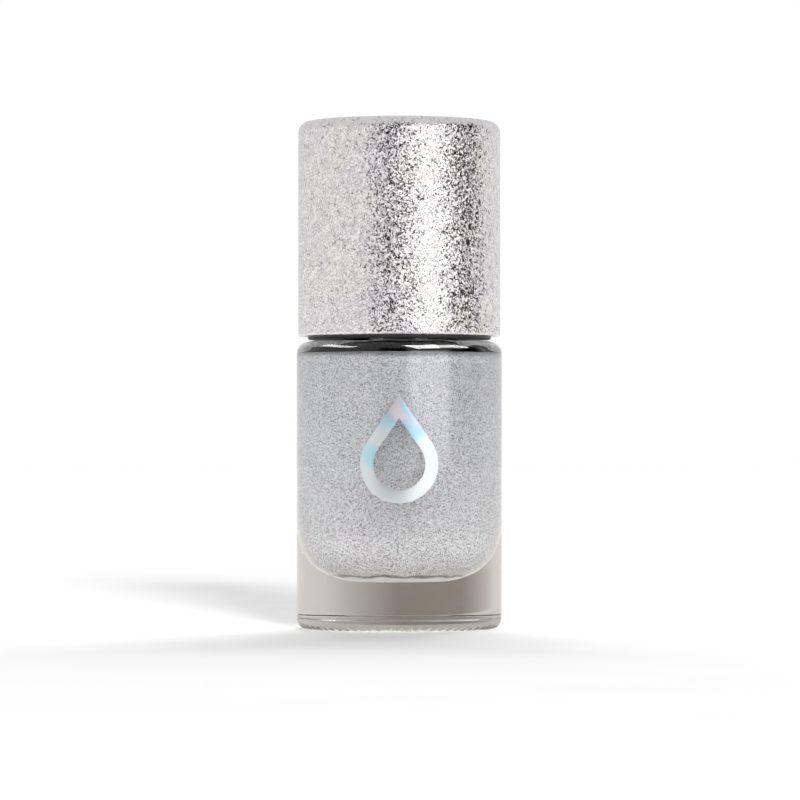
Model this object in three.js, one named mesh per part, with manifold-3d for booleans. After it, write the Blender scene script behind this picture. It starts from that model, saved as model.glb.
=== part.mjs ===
// A round nail polish bottle: clear glass body, glitter polish with two mixing balls, and a screw cap
// that carries the brush. Millimetres, +Z up, z = 0 on the foot ring, front of the bottle towards -Y.
import * as THREE from "three";
import { mergeVertices } from "three/addons/utils/BufferGeometryUtils.js";
import Module from "manifold-3d";

const wasm = await Module();
wasm.setup();

// ---- driving dimensions ----

const ROUND_SEGMENTS = 40;
const SMALL_SEGMENTS = 20;
const BALL_RINGS = SMALL_SEGMENTS / 2;
const ROUND_STEPS = 4;
const FILLET_STEPS = 2;
const BOWL_STEPS = 7;
const FLARE_STEPS = 4;
const MERGE_TOLERANCE = 1e-4;
const TURN = 2 * Math.PI;

// Clearances between neighbouring solids.
const FILM_GAP = 0.05;
const SHOULDER_GAP = 0.2;
const FIT_GAP = 0.05;
const THREAD_GAP = 0.05;

const BOTTLE = {
  radius: 13.6,
  shoulderZ: 38.0,
  shoulderRound: 1.5,
  heelRound: 1.3,
  footInnerRadius: 10.6,
  recessRadius: 10.2,
  recessDepth: 0.8,
};

// The 15-415 glass finish: thread diameter, root diameter, height, and 12 threads per inch.
const NECK = {
  threadRadius: 7.275,
  rootRadius: 6.53,
  height: 13.9,
  boreRadius: 3.9,
  lipRound: 0.5,
  rootFillet: 0.77,
  pitch: 25.4 / 12,
  threadTurns: 2,
  threadStart: 1.2,
};
const LIP_Z = BOTTLE.shoulderZ + NECK.height;
const NECK_THREAD_Z = LIP_Z - NECK.threadStart - NECK.threadTurns * NECK.pitch;

// The rib of both threads: widths at its crest and root, how far it sinks into its wall, how many turns
// its ends take to fade, and the share of its height that is left there.
const THREAD = {
  crest: 0.5,
  root: 1.5,
  sink: 0.3,
  fadeTurns: 0.12,
  endShare: 0.2,
  startAngle: 0.07,
  stepsPerTurn: 24,
};

// The bowl rises from a flat floor and flares into the straight wall; the lengths that end in Reach are
// how far the wall holds its direction at each end of the two curves.
const CAVITY = {
  bottomZ: 6.3,
  flatRadius: 3.0,
  floorReach: 3.7,
  bowlRadius: 8.75,
  bowlHeight: 5.4,
  bowlReach: 2.8,
  bowlLean: 0.161,
  flareReach: 7.0,
  wallRadius: 11.3,
  wallHeight: 23.0,
  wallReach: 7.0,
  ceilingZ: 36.7,
  ceilingRound: 1.8,
  boreFillet: 1.5,
};

// The liquid's level, and the room it leaves round the brush and the balls.
const POLISH = { topZ: 36.2, brushGap: 0.4, tipGap: 0.3, ballGap: 0.1 };

const CAP = {
  radius: 13.4,
  bottomZ: 38.7,
  topZ: 67.2,
  topRound: 1.4,
  rimRound: 0.3,
  wall: 1.2,
  roof: 1.3,
};

const SEAL = { innerRadius: 3.75, outerRadius: 6.5, thickness: 0.9 };

const STEM = {
  endZ: 21.2,
  endRadius: 2.1,
  shaftRadius: 2.2,
  guideRadius: 3.0,
  guideFromZ: 40.0,
  guideToZ: 44.0,
  flangeRadius: 6.4,
  flangeThickness: 1.0,
  plugRadius: 2.5,
  plugLength: 3.9,
  socketRadius: 1.45,
  socketDepth: 4.5,
  edge: 0.3,
};

const INNER_CAP = {
  bottomZ: 38.3,
  topZ: 63.4,
  skirtRadius: 9.0,
  skirtBore: 7.9,
  upperBore: 7.6,
  roof: 1.5,
  flangeRadius: 12.15,
  flangeThickness: 1.2,
  bossRadius: 4.2,
  bossRoof: 1.3,
  fins: 8,
  finRadius: 12.0,
  finThickness: 1.0,
  finTopZ: 62.4,
  threadTurns: 1.5,
};

const BRISTLES = {
  tipZ: 8.2,
  tipRadius: 0.925,
  tipRise: 0.3,
  noseRadius: 1.57,
  noseRise: 1.3,
  bellyRadius: 1.85,
  bellyZ: 12.0,
  rootRadius: 1.4,
  rootDepth: 3.6,
};
const STAPLE = { width: 2.6, thickness: 0.35, height: 0.7 };
const GLUE = { innerRadius: 7.7, outerRadius: 9.2 };
const BALL = { radius: 2.0, offset: 5.0 };
const LABEL = { radius: 9.9, thickness: 0.1 };

const EMBLEM = {
  centreZ: 21.8,
  dropRadius: 5.1,
  tipDistance: 9.0,
  stroke: 1.7,
  thickness: 0.1,
  standOff: 0.05,
  arcSteps: 24,
};

const MATERIALS = {
  glass: { color: 0xe9e7e4, roughness: 0.03, metalness: 0.0, transparent: true, opacity: 0.35 },
  polish: { color: 0xbdb9bb, roughness: 0.35, metalness: 0.7 },
  metallised: { color: 0xc9c3c5, roughness: 0.22, metalness: 1.0 },
  black_plastic: { color: 0x17151a, roughness: 0.45, metalness: 0.0 },
  liner: { color: 0xf1efe9, roughness: 0.7, metalness: 0.0 },
  stem_plastic: { color: 0x1d1b1e, roughness: 0.4, metalness: 0.0 },
  bristle: { color: 0x2a2426, roughness: 0.5, metalness: 0.0 },
  steel: { color: 0xb8bcc0, roughness: 0.15, metalness: 1.0 },
  glue: { color: 0xe8dfc6, roughness: 0.4, metalness: 0.0 },
  foil: { color: 0xdfe9ee, roughness: 0.2, metalness: 0.9 },
  paper: { color: 0xf4f3f0, roughness: 0.8, metalness: 0.0 },
};

// ---- helpers ----

const at = (radius, z) => new THREE.Vector2(radius, z);

/** Points of a circular arc in the radius-height plane, angles in degrees from +radius. */
function arc(radius, z, size, from, to, steps = ROUND_STEPS) {
  return Array.from({ length: steps + 1 }, (_, i) => {
    const angle = THREE.MathUtils.degToRad(from + ((to - from) * i) / steps);
    return at(radius + size * Math.cos(angle), z + size * Math.sin(angle));
  });
}

/** A solid of revolution about Z from a profile that runs out below, up outside and back above. */
function turned(profile, segments = ROUND_SEGMENTS) {
  return new THREE.LatheGeometry(profile, segments).rotateX(Math.PI / 2);
}

/** A ring of rectangular section about Z. */
function ring(innerRadius, outerRadius, bottomZ, topZ) {
  return turned([
    at(innerRadius, bottomZ),
    at(outerRadius, bottomZ),
    at(outerRadius, topZ),
    at(innerRadius, topZ),
    at(innerRadius, bottomZ),
  ]);
}

/** A closed geometry as a solid that can be joined to others and cut. */
function solid(geometry) {
  const bare = geometry.clone();
  bare.deleteAttribute("normal");
  bare.deleteAttribute("uv");
  const merged = mergeVertices(bare, MERGE_TOLERANCE);
  return new wasm.Manifold(
    new wasm.Mesh({
      numProp: 3,
      vertProperties: merged.attributes.position.array,
      triVerts: new Uint32Array(merged.index.array),
    }),
  );
}

/** The geometry of a solid. */
function geometryOf(body) {
  const mesh = body.getMesh();
  const geometry = new THREE.BufferGeometry();
  geometry.setAttribute("position", new THREE.BufferAttribute(mesh.vertProperties, 3));
  geometry.setIndex(new THREE.BufferAttribute(mesh.triVerts, 1));
  geometry.computeVertexNormals();
  return geometry;
}

/** A right-hand helical rib whose middle starts at startZ and climbs; height < 0 points to the axis. */
function threadRib(surfaceRadius, height, turns, startZ) {
  const side = Math.sign(height);
  const sunk = -THREAD.sink * side;
  const section = new THREE.Shape([
    at(0, -THREAD.root / 2),
    at(1, -THREAD.crest / 2),
    at(1, THREAD.crest / 2),
    at(0, THREAD.root / 2),
  ]);
  const rib = new THREE.ExtrudeGeometry(section, {
    depth: turns,
    steps: Math.round(turns * THREAD.stepsPerTurn),
    bevelEnabled: false,
  });
  const position = rib.attributes.position;
  for (let i = 0; i < position.count; i += 1) {
    const along = position.getZ(i);
    const nearestEnd = Math.min(along, turns - along);
    const share = position.getX(i) * Math.min(1, THREAD.endShare + nearestEnd / THREAD.fadeTurns);
    const radius = surfaceRadius + sunk + share * (height - sunk);
    const angle = THREAD.startAngle + along * TURN;
    // The section is the same upside down, and turning it over keeps the faces outwards on both sides.
    const z = startZ - side * position.getY(i) + along * NECK.pitch;
    position.setXYZ(i, radius * Math.cos(angle), radius * Math.sin(angle), z);
  }
  return rib;
}

/** The cavity's wall from the middle of its floor up to the rounded ceiling, drawn in by a gap. */
function cavityWall(gap) {
  const { bottomZ, flatRadius, bowlRadius, bowlReach, flareReach, bowlLean, wallRadius } = CAVITY;
  const bowlTopZ = bottomZ + CAVITY.bowlHeight;
  const wallZ = bottomZ + CAVITY.wallHeight;
  const bowl = new THREE.CubicBezierCurve(
    at(flatRadius, bottomZ),
    at(flatRadius + CAVITY.floorReach, bottomZ),
    at(bowlRadius - bowlLean * bowlReach, bowlTopZ - bowlReach),
    at(bowlRadius, bowlTopZ),
  );
  const flare = new THREE.CubicBezierCurve(
    at(bowlRadius, bowlTopZ),
    at(bowlRadius + bowlLean * flareReach, bowlTopZ + flareReach),
    at(wallRadius, wallZ - CAVITY.wallReach),
    at(wallRadius, wallZ),
  );
  const wall = [...bowl.getPoints(BOWL_STEPS), ...flare.getPoints(FLARE_STEPS).slice(1)];
  return [at(0, bottomZ), ...wall].map((p) => at(Math.max(0, p.x - gap), p.y + gap));
}

// ---- glass bottle ----

function bottleGeometry() {
  const { radius, shoulderZ, shoulderRound, heelRound } = BOTTLE;
  const { ceilingZ, ceilingRound, wallRadius, boreFillet } = CAVITY;
  const { rootRadius, rootFillet, boreRadius, lipRound } = NECK;
  const foot = [
    at(0, BOTTLE.recessDepth),
    at(BOTTLE.recessRadius, BOTTLE.recessDepth),
    at(BOTTLE.footInnerRadius, 0),
  ];
  const body = [
    ...arc(radius - heelRound, heelRound, heelRound, -90, 0),
    ...arc(radius - shoulderRound, shoulderZ - shoulderRound, shoulderRound, 0, 90),
  ];
  const neck = [
    ...arc(rootRadius + rootFillet, shoulderZ + rootFillet, rootFillet, 270, 180, FILLET_STEPS),
    ...arc(rootRadius - lipRound, LIP_Z - lipRound, lipRound, 0, 90, FILLET_STEPS),
    ...arc(boreRadius + lipRound, LIP_Z - lipRound, lipRound, 90, 180, FILLET_STEPS),
  ];
  const ceiling = [
    ...arc(boreRadius + boreFillet, ceilingZ + boreFillet, boreFillet, 180, 270),
    ...arc(wallRadius - ceilingRound, ceilingZ - ceilingRound, ceilingRound, 90, 0),
  ];
  const glass = solid(turned([...foot, ...body, ...neck, ...ceiling, ...cavityWall(0).reverse()]));
  const rib = threadRib(rootRadius, NECK.threadRadius - rootRadius, NECK.threadTurns, NECK_THREAD_Z);
  return geometryOf(glass.add(solid(rib)));
}

// ---- polish and mixing balls ----

/** The height at which a ball's centre rests on the cavity's floor, at a distance from the axis. */
function ballRestZ() {
  const touching = cavityWall(0)
    .filter((p) => Math.abs(p.x - BALL.offset) < BALL.radius)
    .map((p) => p.y + Math.sqrt(BALL.radius ** 2 - (p.x - BALL.offset) ** 2));
  return Math.max(...touching) + FIT_GAP;
}

const BALL_Z = ballRestZ();
const BALL_SIDES = [-1, 1];

function polishGeometry() {
  const channelRadius = STEM.shaftRadius + POLISH.brushGap;
  const channelBottomZ = BRISTLES.tipZ - POLISH.tipGap;
  const { ceilingZ, ceilingRound, wallRadius } = CAVITY;
  const roundZ = ceilingZ - ceilingRound;
  const roundReach = Math.sqrt(ceilingRound ** 2 - (POLISH.topZ - roundZ) ** 2);
  const fillRadius = wallRadius - ceilingRound + roundReach;
  const liquid = solid(
    turned([
      ...cavityWall(FILM_GAP),
      at(wallRadius - FILM_GAP, roundZ),
      at(fillRadius - SHOULDER_GAP, POLISH.topZ),
      at(channelRadius, POLISH.topZ),
      at(channelRadius, channelBottomZ),
      at(0, channelBottomZ),
    ]),
  );
  const pocketRadius = BALL.radius + POLISH.ballGap;
  const drainRadius = BALL.radius / 2;
  const drainLength = 2 * BALL.radius;
  const pockets = BALL_SIDES.map((side) => {
    const pocket = new THREE.SphereGeometry(pocketRadius, SMALL_SEGMENTS, BALL_RINGS);
    const drain = new THREE.CylinderGeometry(drainRadius, drainRadius, drainLength, BALL_RINGS);
    pocket.rotateX(Math.PI / 2).translate(side * BALL.offset, 0, BALL_Z);
    drain.rotateX(Math.PI / 2).translate(side * BALL.offset, 0, BALL_Z - drainLength / 2);
    return solid(pocket).add(solid(drain));
  });
  return geometryOf(pockets.reduce((rest, pocket) => rest.subtract(pocket), liquid));
}

function ballGeometry() {
  return new THREE.SphereGeometry(BALL.radius, SMALL_SEGMENTS, BALL_RINGS).rotateX(Math.PI / 2);
}

// ---- emblem: a plain drop outline wrapped round the front of the glass ----

/** The outline of a drop: a round of the given radius about the origin, drawn up to a tip. */
function dropPoints(radius, tipDistance) {
  const tangent = Math.acos(radius / tipDistance);
  const from = Math.PI / 2 + tangent;
  const sweep = TURN - 2 * tangent;
  const round = Array.from({ length: EMBLEM.arcSteps + 1 }, (_, i) => {
    const angle = from + (sweep * i) / EMBLEM.arcSteps;
    return at(radius * Math.cos(angle), radius * Math.sin(angle));
  });
  return [at(0, tipDistance), ...round];
}

function emblemGeometry() {
  const { dropRadius, tipDistance, stroke, standOff, thickness, centreZ } = EMBLEM;
  const innerRadius = dropRadius - stroke;
  const outline = new THREE.Shape(dropPoints(dropRadius, tipDistance));
  outline.holes.push(new THREE.Path(dropPoints(innerRadius, (tipDistance * innerRadius) / dropRadius)));
  const prism = new THREE.ExtrudeGeometry(outline, { depth: 2 * BOTTLE.radius, bevelEnabled: false });
  prism.rotateX(Math.PI / 2).translate(0, 0, centreZ);
  const innerFace = BOTTLE.radius + standOff;
  const sleeve = ring(innerFace, innerFace + thickness, centreZ - 2 * dropRadius, centreZ + 2 * dropRadius);
  return geometryOf(solid(sleeve).intersect(solid(prism)));
}

// ---- cap ----

const SEAL_Z = LIP_Z + FIT_GAP;
const FLANGE_Z = SEAL_Z + SEAL.thickness + FIT_GAP;
const FLANGE_TOP_Z = FLANGE_Z + STEM.flangeThickness;
const CAP_ROOF_Z = FLANGE_TOP_Z + FIT_GAP;
const STEM_TOP_Z = FLANGE_TOP_Z + STEM.plugLength;
const SHELL_ROOF_Z = CAP.topZ - CAP.roof;

function overcapGeometry() {
  const inside = CAP.radius - CAP.wall;
  return turned([
    at(0, SHELL_ROOF_Z),
    at(inside, SHELL_ROOF_Z),
    at(inside, CAP.bottomZ),
    ...arc(CAP.radius - CAP.rimRound, CAP.bottomZ + CAP.rimRound, CAP.rimRound, -90, 0, FILLET_STEPS),
    ...arc(CAP.radius - CAP.topRound, CAP.topZ - CAP.topRound, CAP.topRound, 0, 90),
    at(0, CAP.topZ),
  ]);
}

function innerCapGeometry() {
  const { bottomZ, topZ, skirtRadius, skirtBore, flangeRadius, flangeThickness } = INNER_CAP;
  const roofTopZ = CAP_ROOF_Z + INNER_CAP.roof;
  const boreTopZ = STEM_TOP_Z + FIT_GAP;
  const bossTopZ = boreTopZ + INNER_CAP.bossRoof;
  const plugBore = STEM.plugRadius + FIT_GAP;
  const shell = solid(
    turned([
      at(0, boreTopZ),
      at(plugBore, boreTopZ),
      at(plugBore, CAP_ROOF_Z),
      at(skirtBore, CAP_ROOF_Z),
      at(skirtBore, bottomZ),
      at(flangeRadius, bottomZ),
      at(flangeRadius, bottomZ + flangeThickness),
      at(skirtRadius, bottomZ + flangeThickness),
      at(skirtRadius, topZ),
      at(INNER_CAP.upperBore, topZ),
      at(INNER_CAP.upperBore, roofTopZ),
      at(INNER_CAP.bossRadius, roofTopZ),
      at(INNER_CAP.bossRadius, bossTopZ),
      at(0, bossTopZ),
    ]),
  );
  const crestRadius = NECK.threadRadius + THREAD_GAP;
  const rib = threadRib(
    skirtBore,
    crestRadius - skirtBore,
    INNER_CAP.threadTurns,
    NECK_THREAD_Z - NECK.pitch / 2,
  );
  const finBottomZ = bottomZ + flangeThickness / 2;
  const finHeight = INNER_CAP.finTopZ - finBottomZ;
  const finInnerRadius = (skirtBore + skirtRadius) / 2;
  const finWidth = INNER_CAP.finRadius - finInnerRadius;
  const fins = Array.from({ length: INNER_CAP.fins }, (_, i) => {
    const fin = new THREE.BoxGeometry(finWidth, INNER_CAP.finThickness, finHeight);
    fin.translate(finInnerRadius + finWidth / 2, 0, finBottomZ + finHeight / 2);
    return solid(fin.rotateZ((TURN * i) / INNER_CAP.fins));
  });
  return geometryOf(fins.reduce((whole, fin) => whole.add(fin), shell.add(solid(rib))));
}

function stemGeometry() {
  const socketTopZ = STEM.endZ + STEM.socketDepth;
  return turned(
    [
      at(0, socketTopZ),
      at(STEM.socketRadius, socketTopZ),
      at(STEM.socketRadius, STEM.endZ),
      at(STEM.endRadius - STEM.edge, STEM.endZ),
      at(STEM.endRadius, STEM.endZ + STEM.edge),
      at(STEM.shaftRadius, socketTopZ),
      at(STEM.shaftRadius, STEM.guideFromZ),
      at(STEM.guideRadius, STEM.guideToZ),
      at(STEM.guideRadius, FLANGE_Z),
      at(STEM.flangeRadius, FLANGE_Z),
      at(STEM.flangeRadius, FLANGE_TOP_Z),
      at(STEM.plugRadius, FLANGE_TOP_Z),
      at(STEM.plugRadius, STEM_TOP_Z - STEM.edge),
      at(STEM.plugRadius - STEM.edge, STEM_TOP_Z),
      at(0, STEM_TOP_Z),
    ],
    SMALL_SEGMENTS,
  );
}

const BRISTLE_TOP_Z = STEM.endZ + BRISTLES.rootDepth;

function bristleGeometry() {
  const { tipZ, rootRadius } = BRISTLES;
  return turned(
    [
      at(0, tipZ),
      at(BRISTLES.tipRadius, tipZ + BRISTLES.tipRise),
      at(BRISTLES.noseRadius, tipZ + BRISTLES.noseRise),
      at(BRISTLES.bellyRadius, BRISTLES.bellyZ),
      at(rootRadius, STEM.endZ),
      at(rootRadius, BRISTLE_TOP_Z),
      at(0, BRISTLE_TOP_Z),
    ],
    SMALL_SEGMENTS,
  );
}

// ---- assembly ----

function piece(name, geometry, material, z = 0) {
  const mesh = new THREE.Mesh(geometry, new THREE.MeshStandardMaterial(MATERIALS[material]));
  mesh.name = name;
  mesh.position.z = z;
  return mesh;
}

const filledBottle = new THREE.Group();
filledBottle.add(
  piece("bottle", bottleGeometry(), "glass"),
  piece("polish", polishGeometry(), "polish"),
  piece("foil_emblem", emblemGeometry(), "foil"),
  piece(
    "base_label",
    new THREE.CylinderGeometry(LABEL.radius, LABEL.radius, LABEL.thickness, ROUND_SEGMENTS).rotateX(
      Math.PI / 2,
    ),
    "paper",
    BOTTLE.recessDepth - FIT_GAP - LABEL.thickness / 2,
  ),
);
BALL_SIDES.forEach((side, i) => {
  const ball = piece(`mixing_ball_${i + 1}`, ballGeometry(), "steel", BALL_Z);
  ball.position.x = side * BALL.offset;
  filledBottle.add(ball);
});

const capAndBrush = new THREE.Group();
capAndBrush.add(
  piece("overcap", overcapGeometry(), "metallised"),
  piece("inner_cap", innerCapGeometry(), "black_plastic"),
  piece(
    "glue_ring",
    ring(GLUE.innerRadius, GLUE.outerRadius, INNER_CAP.topZ + FIT_GAP, SHELL_ROOF_Z - FIT_GAP),
    "glue",
  ),
  piece("lip_seal", ring(SEAL.innerRadius, SEAL.outerRadius, 0, SEAL.thickness), "liner", SEAL_Z),
  piece("brush_stem", stemGeometry(), "stem_plastic"),
  piece("bristles", bristleGeometry(), "bristle"),
  piece(
    "bristle_staple",
    new THREE.BoxGeometry(STAPLE.width, STAPLE.thickness, STAPLE.height),
    "steel",
    BRISTLE_TOP_Z + FIT_GAP + STAPLE.height / 2,
  ),
);

const nailPolish = new THREE.Group();
nailPolish.add(filledBottle, capAndBrush);

export default nailPolish;
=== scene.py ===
import math
import random

import bpy
from mathutils import Matrix, Vector, geometry, noise


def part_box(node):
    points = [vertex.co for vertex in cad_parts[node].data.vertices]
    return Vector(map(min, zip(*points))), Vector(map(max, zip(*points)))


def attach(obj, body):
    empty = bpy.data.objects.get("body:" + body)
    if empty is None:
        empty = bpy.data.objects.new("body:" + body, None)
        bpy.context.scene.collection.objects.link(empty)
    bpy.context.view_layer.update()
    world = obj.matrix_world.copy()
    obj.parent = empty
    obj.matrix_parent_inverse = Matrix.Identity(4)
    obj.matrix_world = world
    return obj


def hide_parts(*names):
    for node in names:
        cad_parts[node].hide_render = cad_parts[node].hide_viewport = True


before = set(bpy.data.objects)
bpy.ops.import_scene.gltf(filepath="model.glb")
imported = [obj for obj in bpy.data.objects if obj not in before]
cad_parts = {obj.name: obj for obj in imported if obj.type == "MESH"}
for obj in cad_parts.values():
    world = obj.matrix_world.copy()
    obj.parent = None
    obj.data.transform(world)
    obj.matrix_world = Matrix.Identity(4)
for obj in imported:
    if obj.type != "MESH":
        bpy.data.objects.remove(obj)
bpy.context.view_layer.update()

MM = 0.001
TURN = 2 * math.pi
SEED = 11

# ---- sizes, read from the frame's nodes ----

BOTTLE_LOW, BOTTLE_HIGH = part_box("bottle")
CAP_LOW, CAP_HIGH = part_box("overcap")
POLISH_LOW, POLISH_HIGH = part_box("polish")
INNER_LOW, INNER_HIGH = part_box("inner_cap")
STEM_LOW, STEM_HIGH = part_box("brush_stem")
BRISTLES_LOW, BRISTLES_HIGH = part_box("bristles")
SEAL_LOW, SEAL_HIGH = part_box("lip_seal")
GLUE_LOW, GLUE_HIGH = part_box("glue_ring")
LABEL_LOW, LABEL_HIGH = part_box("base_label")
EMBLEM_LOW, EMBLEM_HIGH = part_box("foil_emblem")

BOTTLE_RADIUS = BOTTLE_HIGH.x
LIP_Z = BOTTLE_HIGH.z
NECK_HEIGHT = 13.9 * MM
SHOULDER_Z = LIP_Z - NECK_HEIGHT
NECK_RADIUS = 6.53 * MM
BORE_RADIUS = 3.9 * MM
THREAD_HEIGHT = 0.745 * MM
THREAD_PITCH = 25.4 / 12 * MM
CAP_RADIUS = CAP_HIGH.x
CAP_WALL = 1.2 * MM
CAVITY_BOTTOM = 6.3 * MM
CAVITY_CEILING = 36.7 * MM
CAVITY_RADIUS = 11.3 * MM
RECESS_TOP = 0.8 * MM

ROUND = 192


# ---- mesh helpers ----


def clamp(value):
    return min(1.0, max(0.0, value))


def arc(radius, z, size, start, end, steps):
    """Points of a circular arc in the (radius, z) plane; angles in degrees from +radius."""
    angles = [math.radians(start + (end - start) * i / steps) for i in range(steps + 1)]
    return [(radius + size * math.cos(a), z + size * math.sin(a)) for a in angles]


def run(start, end, step):
    """Points from start up to but not including end, in equal steps no longer than step."""
    count = max(1, math.ceil(math.dist(start, end) / step))
    return [tuple(s + (e - s) * i / count for s, e in zip(start, end)) for i in range(count)]


def bezier(a, b, c, d, steps):
    """Points of a cubic Bezier curve in the (radius, z) plane."""
    points = geometry.interpolate_bezier(*(Vector((*p, 0)) for p in (a, b, c, d)), steps + 1)
    return [(p.x, p.y) for p in points]


def new_object(name, vertices, faces, sharp_degrees=35):
    """A mesh object, smooth apart from edges sharper than sharp_degrees."""
    mesh = bpy.data.meshes.new(name)
    mesh.from_pydata(vertices, [], faces)
    mesh.validate()
    mesh.shade_smooth()
    mesh.set_sharp_from_angle(angle=math.radians(sharp_degrees))
    made = bpy.data.objects.new(name, mesh)
    bpy.context.scene.collection.objects.link(made)
    return made


def revolve(name, profile, segments=ROUND, relief=None, sharp_degrees=35):
    """A closed body of revolution about Z. The profile runs out below, up outside and back above; it starts
    and ends on the axis, or its last point joins its first. relief(theta, radius, z) gives the (outward,
    upward) shift of a vertex."""
    on_axis = profile[0][0] == 0 and profile[-1][0] == 0
    rows = profile[1:-1] if on_axis else profile
    vertices, faces = [], []
    for radius, z in rows:
        for k in range(segments):
            theta = TURN * k / segments
            out, up = relief(theta, radius, z) if relief else (0, 0)
            r = radius + out
            vertices.append((r * math.cos(theta), r * math.sin(theta), z + up))
    bands = len(rows) - 1 if on_axis else len(rows)
    for j in range(bands):
        here, above = j * segments, ((j + 1) % len(rows)) * segments
        for k in range(segments):
            n = (k + 1) % segments
            faces.append((here + k, here + n, above + n, above + k))
    if on_axis:
        top = (len(rows) - 1) * segments
        vertices += [(0, 0, profile[0][1]), (0, 0, profile[-1][1])]
        low, high = len(vertices) - 2, len(vertices) - 1
        for k in range(segments):
            n = (k + 1) % segments
            faces.append((low, n, k))
            faces.append((high, top + k, top + n))
    return new_object(name, vertices, faces, sharp_degrees)


def thread_height(theta, z, start_z, turns, phase=0.0):
    """How much of its full height a right-hand thread has at a point, from 0 to 1."""
    along = (z - start_z) / THREAD_PITCH
    fraction = (theta - phase) / TURN
    turn = round(along - fraction) + fraction
    offset = abs(along - turn) * THREAD_PITCH
    if turn < 0 or turn > turns:
        return 0.0
    fade = min(1.0, turn / 0.15, (turns - turn) / 0.15)
    crest, root = 0.25 * MM, 0.75 * MM
    flank = clamp((root - offset) / (root - crest))
    return fade * flank * flank * (3 - 2 * flank)


# ---- material helpers ----


class Nodes:
    """A short way to write a material's or a world's node tree."""

    def __init__(self, owner):
        owner.use_nodes = True
        self.tree = owner.node_tree
        self.tree.nodes.clear()

    def add(self, kind, inputs=None, **settings):
        node = self.tree.nodes.new(kind)
        for key, value in settings.items():
            setattr(node, key, value)
        for key, value in (inputs or {}).items():
            if isinstance(value, bpy.types.NodeSocket):
                self.tree.links.new(value, node.inputs[key])
            else:
                node.inputs[key].default_value = value
        return node

    def math(self, operation, a, b=0.0):
        return self.add("ShaderNodeMath", {0: a, 1: b}, operation=operation).outputs[0]

    def ramp(self, factor, stops, interpolation="LINEAR"):
        node = self.add("ShaderNodeValToRGB", {0: factor})
        elements = node.color_ramp.elements
        node.color_ramp.interpolation = interpolation
        while len(elements) < len(stops):
            elements.new(1.0)
        for element, (place, colour) in zip(elements, stops):
            element.position = place
            element.color = (*colour, 1)
        return node.outputs[0]

    def mix(self, factor, a, b, blend="MIX"):
        node = self.add("ShaderNodeMix", data_type="RGBA", blend_type=blend)
        for index, value in ((0, factor), (6, a), (7, b)):
            if isinstance(value, bpy.types.NodeSocket):
                self.tree.links.new(value, node.inputs[index])
            else:
                node.inputs[index].default_value = (*value, 1) if isinstance(value, tuple) else value
        return node.outputs[2]

    def facets(self, pick, amount, normal=None):
        """The surface's normal, or the given one, tipped at random by the colour of each cell."""
        normal = normal or self.add("ShaderNodeNewGeometry").outputs["Normal"]
        even = self.add("ShaderNodeVectorMath", {0: pick, 1: gray(0.5)}, operation="SUBTRACT").outputs[0]
        tip = self.add("ShaderNodeVectorMath", {0: even, "Scale": amount}, operation="SCALE").outputs[0]
        both = self.add("ShaderNodeVectorMath", {0: normal, 1: tip}, operation="ADD").outputs[0]
        return self.add("ShaderNodeVectorMath", {0: both}, operation="NORMALIZE").outputs[0]

    def output(self, shader, kind="ShaderNodeOutputMaterial", **inputs):
        self.add(kind, {"Surface": shader, **inputs})


def material(name):
    made = bpy.data.materials.new(name)
    return made, Nodes(made)


def dress(piece, body, slot, surface, *nodes):
    """Gives a piece its material and its body, and hides the CAD nodes that it stands for. The slot is not
    used.
    """
    piece.data.materials.clear()
    piece.data.materials.append(surface)
    if nodes:
        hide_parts(*nodes)
    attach(piece, body)
    return piece


def gray(value):
    return (value, value, value)


# ---- materials ----


def clear_glass():
    made, n = material("clear_glass")
    coords = n.add("ShaderNodeTexCoord").outputs["Object"]
    ripple = n.add("ShaderNodeTexNoise", {"Vector": coords, "Scale": 260.0, "Detail": 2.0}).outputs["Fac"]
    bump = n.add("ShaderNodeBump", {"Height": ripple, "Strength": 0.06, "Distance": 0.02 * MM})
    glass = n.add(
        "ShaderNodeBsdfPrincipled",
        {
            "Base Color": (1.0, 1.0, 1.0, 1),
            "Roughness": 0.0,
            "IOR": 1.52,
            "Transmission Weight": 1.0,
            "Normal": bump.outputs[0],
        },
    )
    # Painted shade: a strong grey-brown absorption in the clear glass that darkens its thick base, and a
    # little the polish seen through its walls.
    painted_shade_absorption = n.add("ShaderNodeVolumeAbsorption", {"Color": (0.672, 0.645, 0.600, 1), "Density": 76.0})
    n.output(glass.outputs[0], Volume=painted_shade_absorption.outputs[0])
    return made


FLAKE_TINTS = [
    (0.00, (0.84, 0.81, 0.99)),
    (0.25, (0.88, 0.93, 1.00)),
    (0.45, (0.96, 0.91, 0.96)),
    (0.60, (0.90, 0.93, 1.00)),
    (0.80, (0.81, 0.96, 0.99)),
    (1.00, (0.88, 0.87, 1.00)),
]
# Height of the painted shade line near the foot of the polish, and how far it wanders up and down.
SHADE_LINE_HEIGHT, SHADE_LINE_WANDER = 0.72 * MM, 0.8 * MM


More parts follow.
